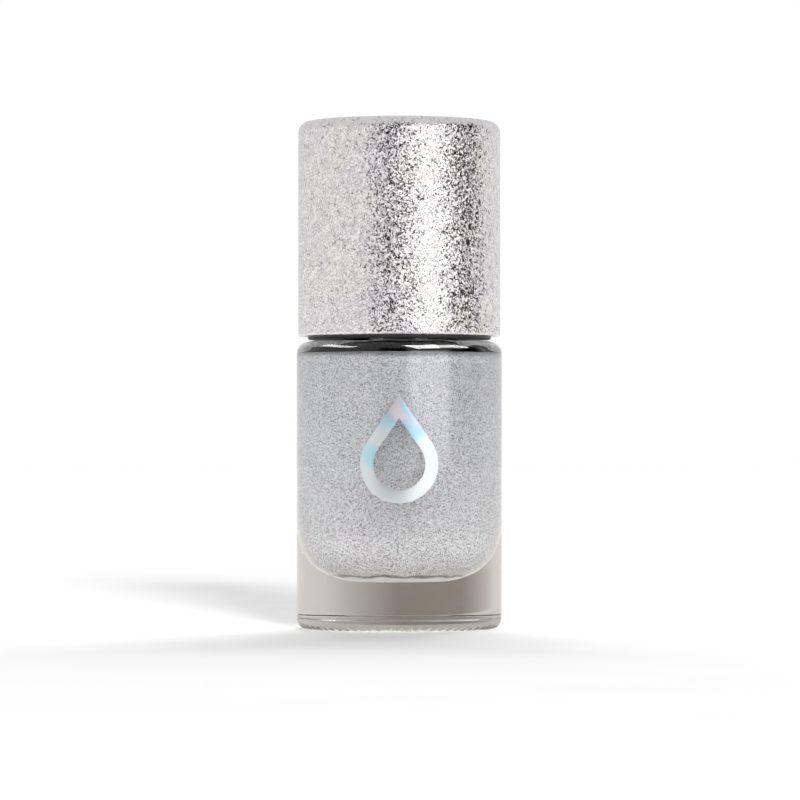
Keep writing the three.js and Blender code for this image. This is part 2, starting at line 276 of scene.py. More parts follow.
def glitter(name, tone=1.0):
    """Silver polish: a bed of tiny flakes, each with its own tilt, brightness and faint hue. Painted shade
    makes it darker towards the top and draws a thin dark line round its foot, over a rim made white by a
    painted highlight."""
    made, n = material(name)
    coords = n.add("ShaderNodeTexCoord").outputs["Object"]
    flakes = n.add("ShaderNodeTexVoronoi", {"Vector": coords, "Scale": 9600.0}, feature="F1")
    drift = n.add("ShaderNodeTexNoise", {"Vector": coords, "Scale": 90.0, "Detail": 2.0})
    picked = n.add("ShaderNodeSeparateColor", {0: flakes.outputs["Color"]})
    hue = n.math("MULTIPLY", n.math("ADD", picked.outputs[0], drift.outputs[0]), 0.5)
    tint = n.ramp(hue, FLAKE_TINTS)
    shade = n.ramp(picked.outputs[1], [(0.0, gray(0.06)), (0.35, gray(0.74)), (0.6, gray(1.0))])
    colour = n.mix(1.0, tint, shade, "MULTIPLY")
    height = n.add("ShaderNodeSeparateXYZ", {0: coords}).outputs[2]
    cavity_height = CAVITY_CEILING - CAVITY_BOTTOM
    wander = n.add("ShaderNodeTexNoise", {"Vector": coords, "Scale": 420.0, "Detail": 2.0}).outputs[0]
    shift = n.math("MULTIPLY", n.math("SUBTRACT", wander, 0.5), SHADE_LINE_WANDER)
    base = n.math("SUBTRACT", n.math("ADD", height, shift), CAVITY_BOTTOM)
    cavity_share = n.math("DIVIDE", base, cavity_height)
    line = SHADE_LINE_HEIGHT / cavity_height
    # Painted shade: a thin dark line just above the foot, and the colour darker towards the top.
    stops = [(0.0, 1.0), (0.8 * line, 1.0), (0.88 * line, 0.02), (1.05 * line, 0.02), (1.3 * line, 1.0)]
    stops += [(0.12, 0.97), (0.22, 0.80), (0.6, 0.66), (1.0, 0.50)]
    painted_height_shade = n.ramp(cavity_share, [(place, gray(level * tone)) for place, level in stops])
    # Painted highlight: below the dark line the colour is mixed to white.
    rim = n.ramp(cavity_share, [(0.8 * line, gray(1.0)), (0.88 * line, gray(0.0))])
    colour = n.mix(1.0, n.mix(rim, colour, gray(1.0)), painted_height_shade, "MULTIPLY")
    tilt = n.facets(flakes.outputs["Color"], 0.35)
    surface = n.add(
        "ShaderNodeBsdfPrincipled",
        {
            "Base Color": colour,
            "Metallic": 0.45,
            "Roughness": 0.5,
            "Normal": tilt,
            "Coat Weight": 1.0,
            "Coat Roughness": 0.30,
            "Coat IOR": 1.6,
            "Sheen Weight": 1.0,
            "Sheen Roughness": 0.30,
        },
    )
    n.output(surface.outputs[0])
    return made


def metallised():
    """Vacuum-metallised plastic over a crinkled mould texture: a mirror broken into tiny tilted facets,
    with painted shade darkening fine creases between some of them."""
    made, n = material("metallised_crinkle")
    coords = n.add("ShaderNodeTexCoord").outputs["Object"]
    swirl = n.add("ShaderNodeTexNoise", {"Vector": coords, "Scale": 2600.0, "Detail": 2.0}).outputs["Color"]
    shift = n.add("ShaderNodeVectorMath", {0: swirl, "Scale": 0.35 * MM}, operation="SCALE").outputs[0]
    bent = n.add("ShaderNodeVectorMath", {0: coords, 1: shift}, operation="ADD").outputs[0]
    coarse = n.add("ShaderNodeTexVoronoi", {"Vector": bent, "Scale": 3400.0}, feature="F1").outputs["Color"]
    fine = n.add("ShaderNodeTexVoronoi", {"Vector": bent, "Scale": 6800.0}, feature="F1").outputs["Color"]
    normal = n.facets(fine, 0.32, n.facets(coarse, 0.27))
    crease = n.add("ShaderNodeTexVoronoi", {"Vector": bent, "Scale": 1900.0}, feature="DISTANCE_TO_EDGE")
    drift = n.add("ShaderNodeTexNoise", {"Vector": coords, "Scale": 160.0, "Detail": 3.0})
    lilac, silver, cream = (0.80, 0.765, 0.80), (0.82, 0.795, 0.805), (0.83, 0.81, 0.775)
    tint = n.ramp(drift.outputs[0], [(0.30, lilac), (0.50, silver), (0.70, cream)])
    gaps = n.add("ShaderNodeTexNoise", {"Vector": coords, "Scale": 1100.0, "Detail": 1.0}).outputs[0]
    # Painted shade: the base colour is darkened along thin lines at the cell edges, as shade lying in the
    # creases.
    depth = n.math("ADD", crease.outputs["Distance"], n.math("MULTIPLY", gaps, 0.20))
    painted_crease_shade = n.ramp(depth, [(0.08, gray(0.34)), (0.14, gray(1.0))])
    colour = n.mix(1.0, tint, painted_crease_shade, "MULTIPLY")
    surface = n.add(
        "ShaderNodeBsdfPrincipled",
        {"Base Color": colour, "Metallic": 1.0, "Roughness": 0.09, "Normal": normal},
    )
    n.output(surface.outputs[0])
    return made


def moulded(name, colour, roughness, grain=900.0):
    """Moulded plastic with a fine sparked texture."""
    made, n = material(name)
    coords = n.add("ShaderNodeTexCoord").outputs["Object"]
    spark = n.add("ShaderNodeTexNoise", {"Vector": coords, "Scale": grain, "Detail": 4.0})
    drift = n.add("ShaderNodeTexNoise", {"Vector": coords, "Scale": grain / 12, "Detail": 2.0})
    base = n.mix(drift.outputs[0], tuple(0.85 * c for c in colour), tuple(min(1, 1.15 * c) for c in colour))
    rough = n.ramp(spark.outputs[0], [(0.3, gray(roughness - 0.08)), (0.7, gray(roughness + 0.08))])
    bump = n.add("ShaderNodeBump", {"Height": spark.outputs[0], "Strength": 0.25, "Distance": 0.03 * MM})
    surface = n.add(
        "ShaderNodeBsdfPrincipled", {"Base Color": base, "Roughness": rough, "Normal": bump.outputs[0]}
    )
    n.output(surface.outputs[0])
    return made


def polished_steel():
    made, n = material("polished_steel")
    coords = n.add("ShaderNodeTexCoord").outputs["Object"]
    scuffs = n.add("ShaderNodeTexNoise", {"Vector": coords, "Scale": 1400.0, "Detail": 5.0})
    rough = n.ramp(scuffs.outputs[0], [(0.35, gray(0.06)), (0.7, gray(0.2))])
    surface = n.add(
        "ShaderNodeBsdfPrincipled",
        {"Base Color": (0.72, 0.73, 0.75, 1), "Metallic": 1.0, "Roughness": rough},
    )
    n.output(surface.outputs[0])
    return made


def holographic_foil():
    """Hot-stamped silver foil whose colour drifts from white to cyan, blue and faint pink."""
    made, n = material("holographic_foil")
    coords = n.add("ShaderNodeTexCoord").outputs["Object"]
    drift = n.add(
        "ShaderNodeTexNoise", {"Vector": coords, "Scale": 150.0, "Detail": 1.0, "Distortion": 0.4}
    )
    tint = n.ramp(
        drift.outputs[0],
        [
            (0.30, (0.68, 0.72, 0.73)),
            (0.42, (0.71, 0.75, 0.76)),
            (0.49, (0.44, 0.73, 0.80)),
            (0.55, (0.46, 0.65, 0.82)),
            (0.61, (0.76, 0.71, 0.75)),
            (0.75, (0.72, 0.74, 0.75)),
        ],
    )
    grain = n.add("ShaderNodeTexNoise", {"Vector": coords, "Scale": 5200.0, "Detail": 2.0})
    bump = n.add("ShaderNodeBump", {"Height": grain.outputs[0], "Strength": 0.15, "Distance": 0.01 * MM})
    surface = n.add(
        "ShaderNodeBsdfPrincipled",
        {"Base Color": tint, "Metallic": 0.85, "Roughness": 0.34, "Normal": bump.outputs[0]},
    )
    n.output(surface.outputs[0])
    return made


def label_paper():
    made, n = material("label_paper")
    coords = n.add("ShaderNodeTexCoord").outputs["Object"]
    fibre = n.add("ShaderNodeTexNoise", {"Vector": coords, "Scale": 2500.0, "Detail": 5.0})
    tint = n.ramp(fibre.outputs[0], [(0.3, (0.86, 0.855, 0.84)), (0.7, (0.93, 0.925, 0.915))])
    bump = n.add("ShaderNodeBump", {"Height": fibre.outputs[0], "Strength": 0.2, "Distance": 0.02 * MM})
    surface = n.add(
        "ShaderNodeBsdfPrincipled", {"Base Color": tint, "Roughness": 0.7, "Normal": bump.outputs[0]}
    )
    n.output(surface.outputs[0])
    return made


GLASS = clear_glass()
POLISH = glitter("silver_glitter_polish")
CRINKLE = metallised()
BLACK = moulded("black_polypropylene", (0.022, 0.020, 0.021), 0.42)
LINER = moulded("seal_foam", (0.62, 0.61, 0.59), 0.65, grain=1800.0)
GLUE = moulded("hot_melt", (0.78, 0.70, 0.52), 0.35, grain=500.0)
STEEL = polished_steel()
FOIL = holographic_foil()
PAPER = label_paper()


# ---- glass bottle and what is in it ----


def cavity_wall():
    """The cavity's wall from the edge of its flat floor up to the straight side."""
    bowl_top = (8.75 * MM, CAVITY_BOTTOM + 5.4 * MM)
    bowl = bezier(
        (3.0 * MM, CAVITY_BOTTOM),
        (6.7 * MM, CAVITY_BOTTOM),
        (8.3 * MM, CAVITY_BOTTOM + 2.6 * MM),
        bowl_top,
        24,
    )
    flare = bezier(
        bowl_top,
        (9.877 * MM, CAVITY_BOTTOM + 12.4 * MM),
        (CAVITY_RADIUS, CAVITY_BOTTOM + 16.0 * MM),
        (CAVITY_RADIUS, CAVITY_BOTTOM + 23.0 * MM),
        24,
    )
    return [(0, CAVITY_BOTTOM), (1.5 * MM, CAVITY_BOTTOM)] + bowl + flare[1:]


CEILING_ROUND = 1.8 * MM
SHOULDER_ROUND = 1.5 * MM
THREAD_START = LIP_Z - 1.2 * MM - 2 * THREAD_PITCH
FOOT_INNER, FOOT_OUTER = 10.6 * MM, 12.3 * MM
STIPPLES = 66
STIPPLE_TOP, STIPPLE_DEPTH = 0.62 * MM, 0.20 * MM
# How far the shoulder and the cavity's ceiling wave up and down, and the radii where their waves begin.
SHOULDER_WAVE, SHOULDER_WAVE_START = 0.16 * MM, 7.6 * MM
CEILING_WAVE, CEILING_WAVE_START = 0.22 * MM, 6 * MM


def mould_wave(theta, offset=0.0):
    """A slow waviness round the bottle, from -1 to 1."""
    return noise.noise(Vector((math.cos(theta), math.sin(theta), 0)) * 3 + Vector((0, 0, offset)))


def bottle_relief(theta, radius, z):
    """The neck's thread, the slight waves of the shoulder and of the cavity's ceiling, and the crescent
    grooves that roughen the foot ring and the lowest part of the heel."""
    if z > SHOULDER_Z + 4 * MM and radius > BORE_RADIUS + 1.5 * MM:
        return thread_height(theta, z, THREAD_START, 2) * THREAD_HEIGHT, 0
    if abs(z - CAVITY_CEILING) < 0.2 * MM and radius > CEILING_WAVE_START:
        width = CAVITY_RADIUS - CEILING_ROUND - CEILING_WAVE_START
        across = clamp((radius - CEILING_WAVE_START) / width)
        return 0, CEILING_WAVE * math.sin(math.pi * across) * mould_wave(theta)
    if abs(z - SHOULDER_Z) < SHOULDER_ROUND and radius > SHOULDER_WAVE_START:
        inner = clamp((radius - SHOULDER_WAVE_START) / MM)
        edge = clamp((z - SHOULDER_Z + SHOULDER_ROUND) / MM)
        return 0, SHOULDER_WAVE * inner * edge * mould_wave(theta, radius / (2.5 * MM))
    if z < STIPPLE_TOP and FOOT_INNER < radius:
        climb = z / STIPPLE_TOP
        bow = 1.6 * math.sin(math.pi * min(1.0, 0.25 + 0.75 * climb))
        wave = (0.5 + 0.5 * math.cos(STIPPLES * theta + bow)) ** 3
        depth = STIPPLE_DEPTH * wave * math.sin(math.pi * (0.5 + 0.5 * climb))
        return -depth * min(1.0, 2 * climb), depth * max(0.0, 1 - climb)
    return 0, 0


def make_bottle():
    heel, shoulder, fillet, lip = 1.3 * MM, SHOULDER_ROUND, 0.77 * MM, 0.5 * MM
    profile = [(0, RECESS_TOP), (5 * MM, RECESS_TOP), (10.1 * MM, RECESS_TOP), (10.35 * MM, 0.6 * MM)]
    profile += run((FOOT_INNER, 0.0), (FOOT_OUTER, 0.0), 0.2 * MM)
    profile += arc(FOOT_OUTER, heel, heel, -90, 0, 18)
    profile += [(BOTTLE_RADIUS, heel + 0.10 * MM), (BOTTLE_RADIUS - 0.07 * MM, heel + 0.18 * MM)]
    profile += [(BOTTLE_RADIUS, heel + 0.27 * MM)]
    profile += [(BOTTLE_RADIUS, 10 * MM), (BOTTLE_RADIUS, 20 * MM), (BOTTLE_RADIUS, 30 * MM)]
    profile += arc(BOTTLE_RADIUS - shoulder, SHOULDER_Z - shoulder, shoulder, 0, 90, 12)
    profile += run((BOTTLE_RADIUS - shoulder - 0.4 * MM, SHOULDER_Z), (7.4 * MM, SHOULDER_Z), 0.4 * MM)
    profile += arc(NECK_RADIUS + fillet, SHOULDER_Z + fillet, fillet, 270, 180, 6)
    profile += [(NECK_RADIUS, SHOULDER_Z + 4 * MM)]
    profile += run((NECK_RADIUS, SHOULDER_Z + 5 * MM), (NECK_RADIUS, LIP_Z - 1 * MM), 0.14 * MM)
    profile += arc(NECK_RADIUS - lip, LIP_Z - lip, lip, 0, 90, 6)
    profile += arc(BORE_RADIUS + lip, LIP_Z - lip, lip, 90, 180, 6)
    profile += arc(5.4 * MM, CAVITY_CEILING + 1.5 * MM, 1.5 * MM, 180, 270, 8)
    profile += run((5.9 * MM, CAVITY_CEILING), (CAVITY_RADIUS - CEILING_ROUND, CAVITY_CEILING), 0.4 * MM)
    profile += arc(CAVITY_RADIUS - CEILING_ROUND, CAVITY_CEILING - CEILING_ROUND, CEILING_ROUND, 90, 0, 12)
    profile += cavity_wall()[::-1]
    bottle = revolve("glass_bottle", profile, segments=432, relief=bottle_relief)
    return dress(bottle, "filled_bottle", "glass", GLASS, "bottle")


def make_polish():
    """The liquid wets the glass, so its skin lies a hair inside the cavity's wall of glass."""
    wet = 0.02 * MM
    fill_z = CAVITY_CEILING - 0.25 * MM
    profile = [(r + wet if r > 0 else 0, z - wet) for r, z in cavity_wall()]
    centre_z = CAVITY_CEILING - CEILING_ROUND
    top_angle = math.degrees(math.asin((fill_z - centre_z) / CEILING_ROUND))
    profile += arc(CAVITY_RADIUS - CEILING_ROUND, centre_z, CEILING_ROUND + wet, 0, top_angle, 8)
    meniscus = profile[-1]
    profile += [(meniscus[0] - 0.5 * MM, fill_z - 0.25 * MM), (meniscus[0] - 1.4 * MM, fill_z - 0.4 * MM)]
    profile += [(4 * MM, fill_z - 0.42 * MM), (0, fill_z - 0.42 * MM)]
    polish = revolve("silver_polish", profile, segments=ROUND, sharp_degrees=60)
    return dress(polish, "filled_bottle", "glitter_polish", POLISH, "polish")


def make_balls():
    for number in (1, 2):
        node = f"mixing_ball_{number}"
        low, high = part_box(node)
        centre, radius = (low + high) / 2, (high.z - low.z) / 2
        profile = [(max(0.0, radius * math.cos(math.radians(a))), radius * math.sin(math.radians(a)))
                   for a in range(-90, 91, 6)]
        profile[0], profile[-1] = (0, -radius), (0, radius)
        ball = revolve(f"steel_ball_{number}", profile, segments=48)
        ball.data.transform(Matrix.Translation(centre))
        dress(ball, f"ball_{number}", "ball_steel", STEEL, node)


def make_label():
    radius, edge = LABEL_HIGH.x, 0.03 * MM
    profile = [(0, LABEL_LOW.z), (radius - edge, LABEL_LOW.z), (radius, LABEL_LOW.z + edge)]
    profile += [(radius, LABEL_HIGH.z), (0, LABEL_HIGH.z)]
    label = revolve("blank_base_label", profile, segments=128)
    return dress(label, "filled_bottle", "label_paper", PAPER, "base_label")


# ---- emblem ----


def drop_outline(radius, tip, steps=48):
    """Points of a drop outline about its round's centre: the tip, then round from left to right."""
    tangent = math.acos(radius / tip)
    start = math.pi / 2 + tangent
    sweep = TURN - 2 * tangent
    side = 14
    first = Vector((radius * math.cos(start), radius * math.sin(start)))
    last = Vector((-first.x, first.y))
    top = Vector((0, tip))
    points = [top.lerp(first, i / side) for i in range(side)]
    for i in range(steps):
        angle = start + sweep * i / steps
        points.append(Vector((radius * math.cos(angle), radius * math.sin(angle))))
    points += [last.lerp(top, i / side) for i in range(side)]
    return points


def make_emblem():
    """A plain drop outline of foil that follows the glass, with softened edges."""
    drop_radius, stroke = EMBLEM_HIGH.x, 1.7 * MM
    tip = (EMBLEM_HIGH.z - EMBLEM_LOW.z) - drop_radius
    centre_z = EMBLEM_LOW.z + drop_radius
    across = 6
    inner_share = 1 - stroke / drop_radius
    outline = drop_outline(drop_radius, tip)
    count = len(outline)
    lift, thick = 0.008 * MM, 0.05 * MM
    vertices, faces = [], []
    for skin in (lift, lift + thick):
        for j in range(across + 1):
            share = 1 + (inner_share - 1) * j / across
            edge = min(j, across - j)
            depth = skin if skin == lift or edge else skin - 0.4 * thick
            for p in outline:
                x, z = p.x * share, p.y * share
                theta = math.asin(x / BOTTLE_RADIUS)
                r = BOTTLE_RADIUS + depth
                vertices.append((r * math.sin(theta), -r * math.cos(theta), centre_z + z))
    layer = (across + 1) * count
    for j in range(across):
        for k in range(count):
            n = (k + 1) % count
            a, b, c, d = j * count + k, j * count + n, (j + 1) * count + n, (j + 1) * count + k
            faces.append((a, b, c, d))
            faces.append((layer + d, layer + c, layer + b, layer + a))
    for k in range(count):
        n = (k + 1) % count
        faces.append((n, k, layer + k, layer + n))
        inner = across * count
        faces.append((inner + k, inner + n, layer + inner + n, layer + inner + k))
    emblem = new_object("foil_drop_emblem", vertices, faces, sharp_degrees=50)
    return dress(emblem, "filled_bottle", "holographic_foil", FOIL, "foil_emblem")


# ---- cap ----

GRID = 0.18 * MM
CRINKLE_DEPTH = 0.008 * MM


def crinkle(p):
    """Outward shift of the mould texture at a point: creased facets over soft dents."""
    q = Vector(p) / (0.42 * MM)
    distances, _ = noise.voronoi(q)
    facet = distances[1] - distances[0]
    dents = noise.noise(q) + 0.6 * noise.noise(q * 0.45 + Vector((7.1, 3.3, 1.7)))
    return CRINKLE_DEPTH * (facet - 0.35 + dents)


def make_overcap():
    """The outer shell: crinkled on its side and top, with a plain thin rim and a smooth inside."""
    top_round, rim_round, roof = 1.4 * MM, 0.3 * MM, 1.3 * MM
    low, top = CAP_LOW.z, CAP_HIGH.z
    inside = CAP_RADIUS - CAP_WALL
    segments = round(TURN * CAP_RADIUS / GRID)
    bare_rim = 0.55 * MM
    side = [(CAP_RADIUS, low + rim_round)]
    side += run((CAP_RADIUS, low + bare_rim), (CAP_RADIUS, top - top_round), GRID)
    side += arc(CAP_RADIUS - top_round, top - top_round, top_round, 0, 90, 12)
    underside = [(0, top - roof), (inside - 1 * MM, top - roof)]
    underside += arc(inside - 0.6 * MM, top - roof - 0.6 * MM, 0.6 * MM, 90, 0, 4)
    underside += [(inside, low + 8 * MM), (inside, low + 0.3 * MM), (inside + 0.15 * MM, low)]
    rim = arc(CAP_RADIUS - rim_round, low + rim_round, rim_round, -90, -10, 4)
    profile = underside + rim + side
    first_textured = len(underside) + len(rim)

    vertices, faces = [], []
    rows = profile[1:]
    for j, (radius, z) in enumerate(rows, start=1):
        for k in range(segments):
            theta = TURN * k / segments
            direction = Vector((math.cos(theta), math.sin(theta), 0))
            point = direction * radius + Vector((0, 0, z))
            if j >= first_textured:
                grown = clamp((z - low - rim_round) / bare_rim)
                slope = clamp((z - (top - top_round)) / top_round)
                normal = (direction * (1 - slope) + Vector((0, 0, slope))).normalized()
                point += normal * crinkle(point) * grown
            elif z < low + rim_round:
                wobble = noise.noise(point / (2.2 * MM)) * 0.05 * MM
                point.z += max(0.0, wobble)
            vertices.append(tuple(point))
    for j in range(len(rows) - 1):
        here, above = j * segments, (j + 1) * segments
        for k in range(segments):
            n = (k + 1) % segments
            faces.append((here + k, here + n, above + n, above + k))
    vertices.append((0, 0, top - roof))
    for k in range(segments):
        faces.append((len(vertices) - 1, (k + 1) % segments, k))
    add_crinkled_top(vertices, faces, (len(rows) - 1) * segments, segments, top)
    cap = new_object("crinkled_overcap", vertices, faces, sharp_degrees=75)
    return dress(cap, "cap_and_brush", "metallised_plastic", CRINKLE, "overcap")


def add_crinkled_top(vertices, faces, first, segments, top):
    """Fills the ring of vertices that starts at first with a jittered grid of the same fineness."""
    draw = random.Random(SEED)
    ring = [Vector(vertices[first + k][:2]) for k in range(segments)]
    reach = min(p.length for p in ring) - 0.6 * GRID
    inner = []
    step = int(reach / GRID) + 1
    for i in range(-step, step + 1):
        for j in range(-step, step + 1):
            p = Vector((i + 0.5 * (j % 2), j * 0.87)) * GRID
            p += Vector((draw.uniform(-1, 1), draw.uniform(-1, 1))) * 0.12 * GRID
            if p.length < reach:
                inner.append(p)
    points = ring + inner
    edges = [(k, (k + 1) % segments) for k in range(segments)]
    out, _, triangles, *_ = geometry.delaunay_2d_cdt(points, edges, [], 1, 1e-9)
    offset = len(vertices)
    for p in out[segments:]:
        flat = Vector((p.x, p.y, top))
        vertices.append((p.x, p.y, top + crinkle(flat)))
    number = [*range(first, first + segments), *range(offset, offset + len(out) - segments)]
    faces += [tuple(number[i] for i in triangle) for triangle in triangles]


SKIRT_BORE, SKIRT_RADIUS, FLANGE_THICKNESS, FIN_RADIUS = 7.9 * MM, 9.0 * MM, 1.2 * MM, 12.0 * MM


def inner_cap_relief(theta, radius, z):
    """The cap's own thread, which stands in from the skirt's bore."""
    if radius == SKIRT_BORE and z < SEAL_LOW.z:
        height = SKIRT_BORE - NECK_RADIUS - THREAD_HEIGHT - 0.05 * MM
        return -height * thread_height(theta, z, THREAD_START - THREAD_PITCH / 2, 1.5), 0
    return 0, 0


def make_inner_cap():
    """The black screw cap: threaded skirt, closing flange, plug socket and the fins that grip the shell."""
    low, top, flange = INNER_LOW.z, INNER_HIGH.z, INNER_HIGH.x
    roof = SEAL_HIGH.z + 1.1 * MM
    roof_top, boss_top, bore_top = roof + 1.5 * MM, STEM_HIGH.z + 1.35 * MM, STEM_HIGH.z + 0.05 * MM
    edge, socket, boss, well = 0.15 * MM, 2.55 * MM, 4.2 * MM, 7.6 * MM
    profile = [(0, bore_top), (socket, bore_top), (socket, roof), (SKIRT_BORE, roof)]
    profile += run((SKIRT_BORE, roof - 2 * MM), (SKIRT_BORE, low + 4 * MM), 0.14 * MM)
    profile += [(SKIRT_BORE, low + edge), (SKIRT_BORE + edge, low), (flange - edge, low)]
    profile += [(flange, low + edge), (flange, low + FLANGE_THICKNESS - edge)]
    profile += [(flange - edge, low + FLANGE_THICKNESS), (SKIRT_RADIUS + edge, low + FLANGE_THICKNESS)]
    profile += [(SKIRT_RADIUS, low + FLANGE_THICKNESS + edge), (SKIRT_RADIUS, top - edge)]
    profile += [(SKIRT_RADIUS - edge, top), (well + edge, top), (well, top - edge)]
    profile += [(well, roof_top), (boss, roof_top), (boss, boss_top - edge)]
    profile += [(boss - edge, boss_top), (0, boss_top)]
    cap = revolve("screw_cap", profile, segments=180, relief=inner_cap_relief)
    add_fins(cap, low + 0.5 * FLANGE_THICKNESS, top - 1 * MM, FIN_RADIUS)
    return dress(cap, "cap_and_brush", "black_plastic", BLACK, "inner_cap")


def add_fins(cap, low, high, outer, count=8, thickness=1.0 * MM):
    """Joins the radial fins to the cap as closed boxes with tapered tops."""
    root, taper = SKIRT_RADIUS - 0.4 * MM, 0.8 * MM
    vertices, faces = [], []
    for i in range(count):
        turn = TURN * i / count
        base = len(vertices)
        section = [(root, low), (outer, low), (outer, high - taper), (outer - taper, high), (root, high)]
        for side in (-0.5, 0.5):
            for r, z in section:
                x, y = r, side * thickness
                vertices.append(
                    (x * math.cos(turn) - y * math.sin(turn), x * math.sin(turn) + y * math.cos(turn), z)
                )
        size = len(section)
        faces.append(tuple(base + k for k in range(size)))
        faces.append(tuple(base + size + k for k in reversed(range(size))))
        for k in range(size):
            n = (k + 1) % size
            faces.append((base + n, base + k, base + size + k, base + size + n))
    fins = new_object("fins", vertices, faces)
    with bpy.context.temp_override(active_object=cap, selected_editable_objects=[cap, fins]):
        bpy.ops.object.join()


def make_glue():
    """A hot-melt bead with a softly rounded section."""
    inner = 7.7 * MM
    mid_r, mid_z = (inner + GLUE_HIGH.x) / 2, (GLUE_LOW.z + GLUE_HIGH.z) / 2
    half_r, half_z = GLUE_HIGH.x - mid_r, (GLUE_HIGH.z - GLUE_LOW.z) / 2
    profile = []
    steps = 32
    for i in range(steps):
        c, s = math.cos(TURN * i / steps), math.sin(TURN * i / steps)
        across, up = math.copysign(abs(c) ** 0.5, c), math.copysign(abs(s) ** 0.5, s)
        profile.append((mid_r + half_r * across, mid_z + half_z * up))
    bead = revolve("hot_melt_bead", profile, segments=96)
    return dress(bead, "cap_thrust", "hot_melt_glue", GLUE, "glue_ring")


def make_seal():
    inner, outer, edge = 3.75 * MM, SEAL_HIGH.x, 0.2 * MM
    low, high = SEAL_LOW.z, SEAL_HIGH.z
    profile = [(inner + edge, low), (outer - edge, low), (outer, low + edge), (outer, high - edge)]
    profile += [(outer - edge, high), (inner + edge, high), (inner, high - edge), (inner, low + edge)]
    seal = revolve("liner_washer", profile, segments=128, sharp_degrees=60)
    return dress(seal, "seal", "seal_liner", LINER, "lip_seal")


def coated_stem_material():
    """Black stem plastic above, wetted by the polish where it stands in it."""
    made, n = material("stem_with_polish")
    coords = n.add("ShaderNodeTexCoord").outputs["Object"]
    height = n.add("ShaderNodeSeparateXYZ", {0: coords}).outputs[2]
    drip = n.add("ShaderNodeTexNoise", {"Vector": coords, "Scale": 420.0, "Detail": 2.0}).outputs[0]
    edge = n.math("ADD", height, n.math("MULTIPLY", drip, 3 * MM))
    wet = n.math("LESS_THAN", edge, POLISH_HIGH.z - 4 * MM)
    flakes = n.add("ShaderNodeTexVoronoi", {"Vector": coords, "Scale": 6200.0})
    shade = n.ramp(flakes.outputs["Distance"], [(0.0, gray(1.0)), (0.8, gray(0.7))])
    silver = n.mix(1.0, shade, (0.80, 0.79, 0.80), "MULTIPLY")
    colour = n.mix(wet, (0.030, 0.028, 0.030), silver)
    spark = n.add("ShaderNodeTexNoise", {"Vector": coords, "Scale": 900.0, "Detail": 4.0})
    bump = n.add("ShaderNodeBump", {"Height": spark.outputs[0], "Strength": 0.2, "Distance": 0.03 * MM})
    surface = n.add(
        "ShaderNodeBsdfPrincipled",
        {
            "Base Color": colour,
            "Metallic": n.math("MULTIPLY", wet, 0.8),
            "Roughness": 0.35,
            "Normal": bump.outputs[0],
        },
    )
    n.output(surface.outputs[0])
    return made


def make_stem():
    """The brush rod: clamping flange and plug above, guide shaft, thin rod and the bristles' socket."""
    low, top = STEM_LOW.z, STEM_HIGH.z
    flange_low, flange_high = SEAL_HIGH.z + 0.05 * MM, SEAL_HIGH.z + 1.05 * MM
    flange, plug, guide = STEM_HIGH.x, 2.5 * MM, 3.0 * MM
    shaft, end, socket = 2.2 * MM, 2.1 * MM, 1.45 * MM
    edge, depth = 0.3 * MM, 4.5 * MM
    swell_low, swell_high = 40 * MM, 44 * MM
    swell_mid = (swell_low + swell_high) / 2
    profile = [(0, low + depth), (socket, low + depth), (socket, low)]
    profile += arc(end - edge, low + edge, edge, -90, 0, 5)
    profile += [(shaft, low + depth)]
    profile += bezier((shaft, swell_low), (shaft, swell_mid), (guide, swell_mid), (guide, swell_high), 10)
    profile += [(guide, flange_low - edge)] + arc(guide + edge, flange_low - edge, edge, 180, 90, 4)
    profile += [(flange - 0.1 * MM, flange_low), (flange, flange_low + 0.1 * MM)]
    profile += [(flange, flange_high - 0.1 * MM), (flange - 0.1 * MM, flange_high), (plug, flange_high)]
    profile += arc(plug - edge, top - edge, edge, 0, 90, 4) + [(0, top)]
    stem = revolve("brush_rod", profile, segments=96)
    return dress(stem, "cap_and_brush", "stem_plastic", coated_stem_material(), "brush_stem")


def make_bristles():
    """Fine filaments, close in the socket, bellied below and drawn together at the tip."""
    draw = random.Random(SEED)
    tip_z, top_z = BRISTLES_LOW.z, BRISTLES_HIGH.z
    mouth_z = STEM_LOW.z
    mouth_radius, belly = 1.32 * MM, BRISTLES_HIGH.x - 0.04 * MM
    pinch, pinch_start = 0.45, 0.72
    thread_radius, sides, steps = 0.055 * MM, 5, 12
    vertices, faces = [], []
    placed, golden_turn = 260, TURN * 0.381966
    for i in range(placed):
        reach = math.sqrt((i + 0.5) / placed)
        turn = i * golden_turn
        ripple, length = draw.uniform(-0.05, 0.05), draw.uniform(0.0, 0.5) * MM
        base = len(vertices)
        for j in range(steps + 1):
            t = j / steps
            z = top_z + (tip_z + length + (reach**2) * 1.1 * MM - top_z) * t
            hang = max(0.0, (mouth_z - z) / (mouth_z - tip_z))
            swell = math.sin(min(1.0, hang * 1.35) * math.pi / 2) ** 2
            spread = mouth_radius + (belly - mouth_radius) * swell
            draw_in = 1 - pinch * max(0.0, hang - pinch_start) / (1 - pinch_start)
            radius = spread * draw_in * reach
            angle = turn + ripple * hang * 4
            x, y = radius * math.cos(angle), radius * math.sin(angle)
            taper = thread_radius * (1 - 0.5 * t**6)
            for s in range(sides):
                a = TURN * s / sides
                vertices.append((x + taper * math.cos(a), y + taper * math.sin(a), z))
        for j in range(steps):
            for s in range(sides):
                n = (s + 1) % sides
                here, below = base + j * sides, base + (j + 1) * sides
                faces.append((here + s, below + s, below + n, here + n))
        faces.append(tuple(base + s for s in range(sides)))
        faces.append(tuple(base + steps * sides + s for s in reversed(range(sides))))
    bundle = new_object("bristle_filaments", vertices, faces)
    return dress(bundle, "cap_and_brush", "bristle_nylon", glitter("polish_on_bristles", 0.9), "bristles")


# ---- stage, light and camera ----


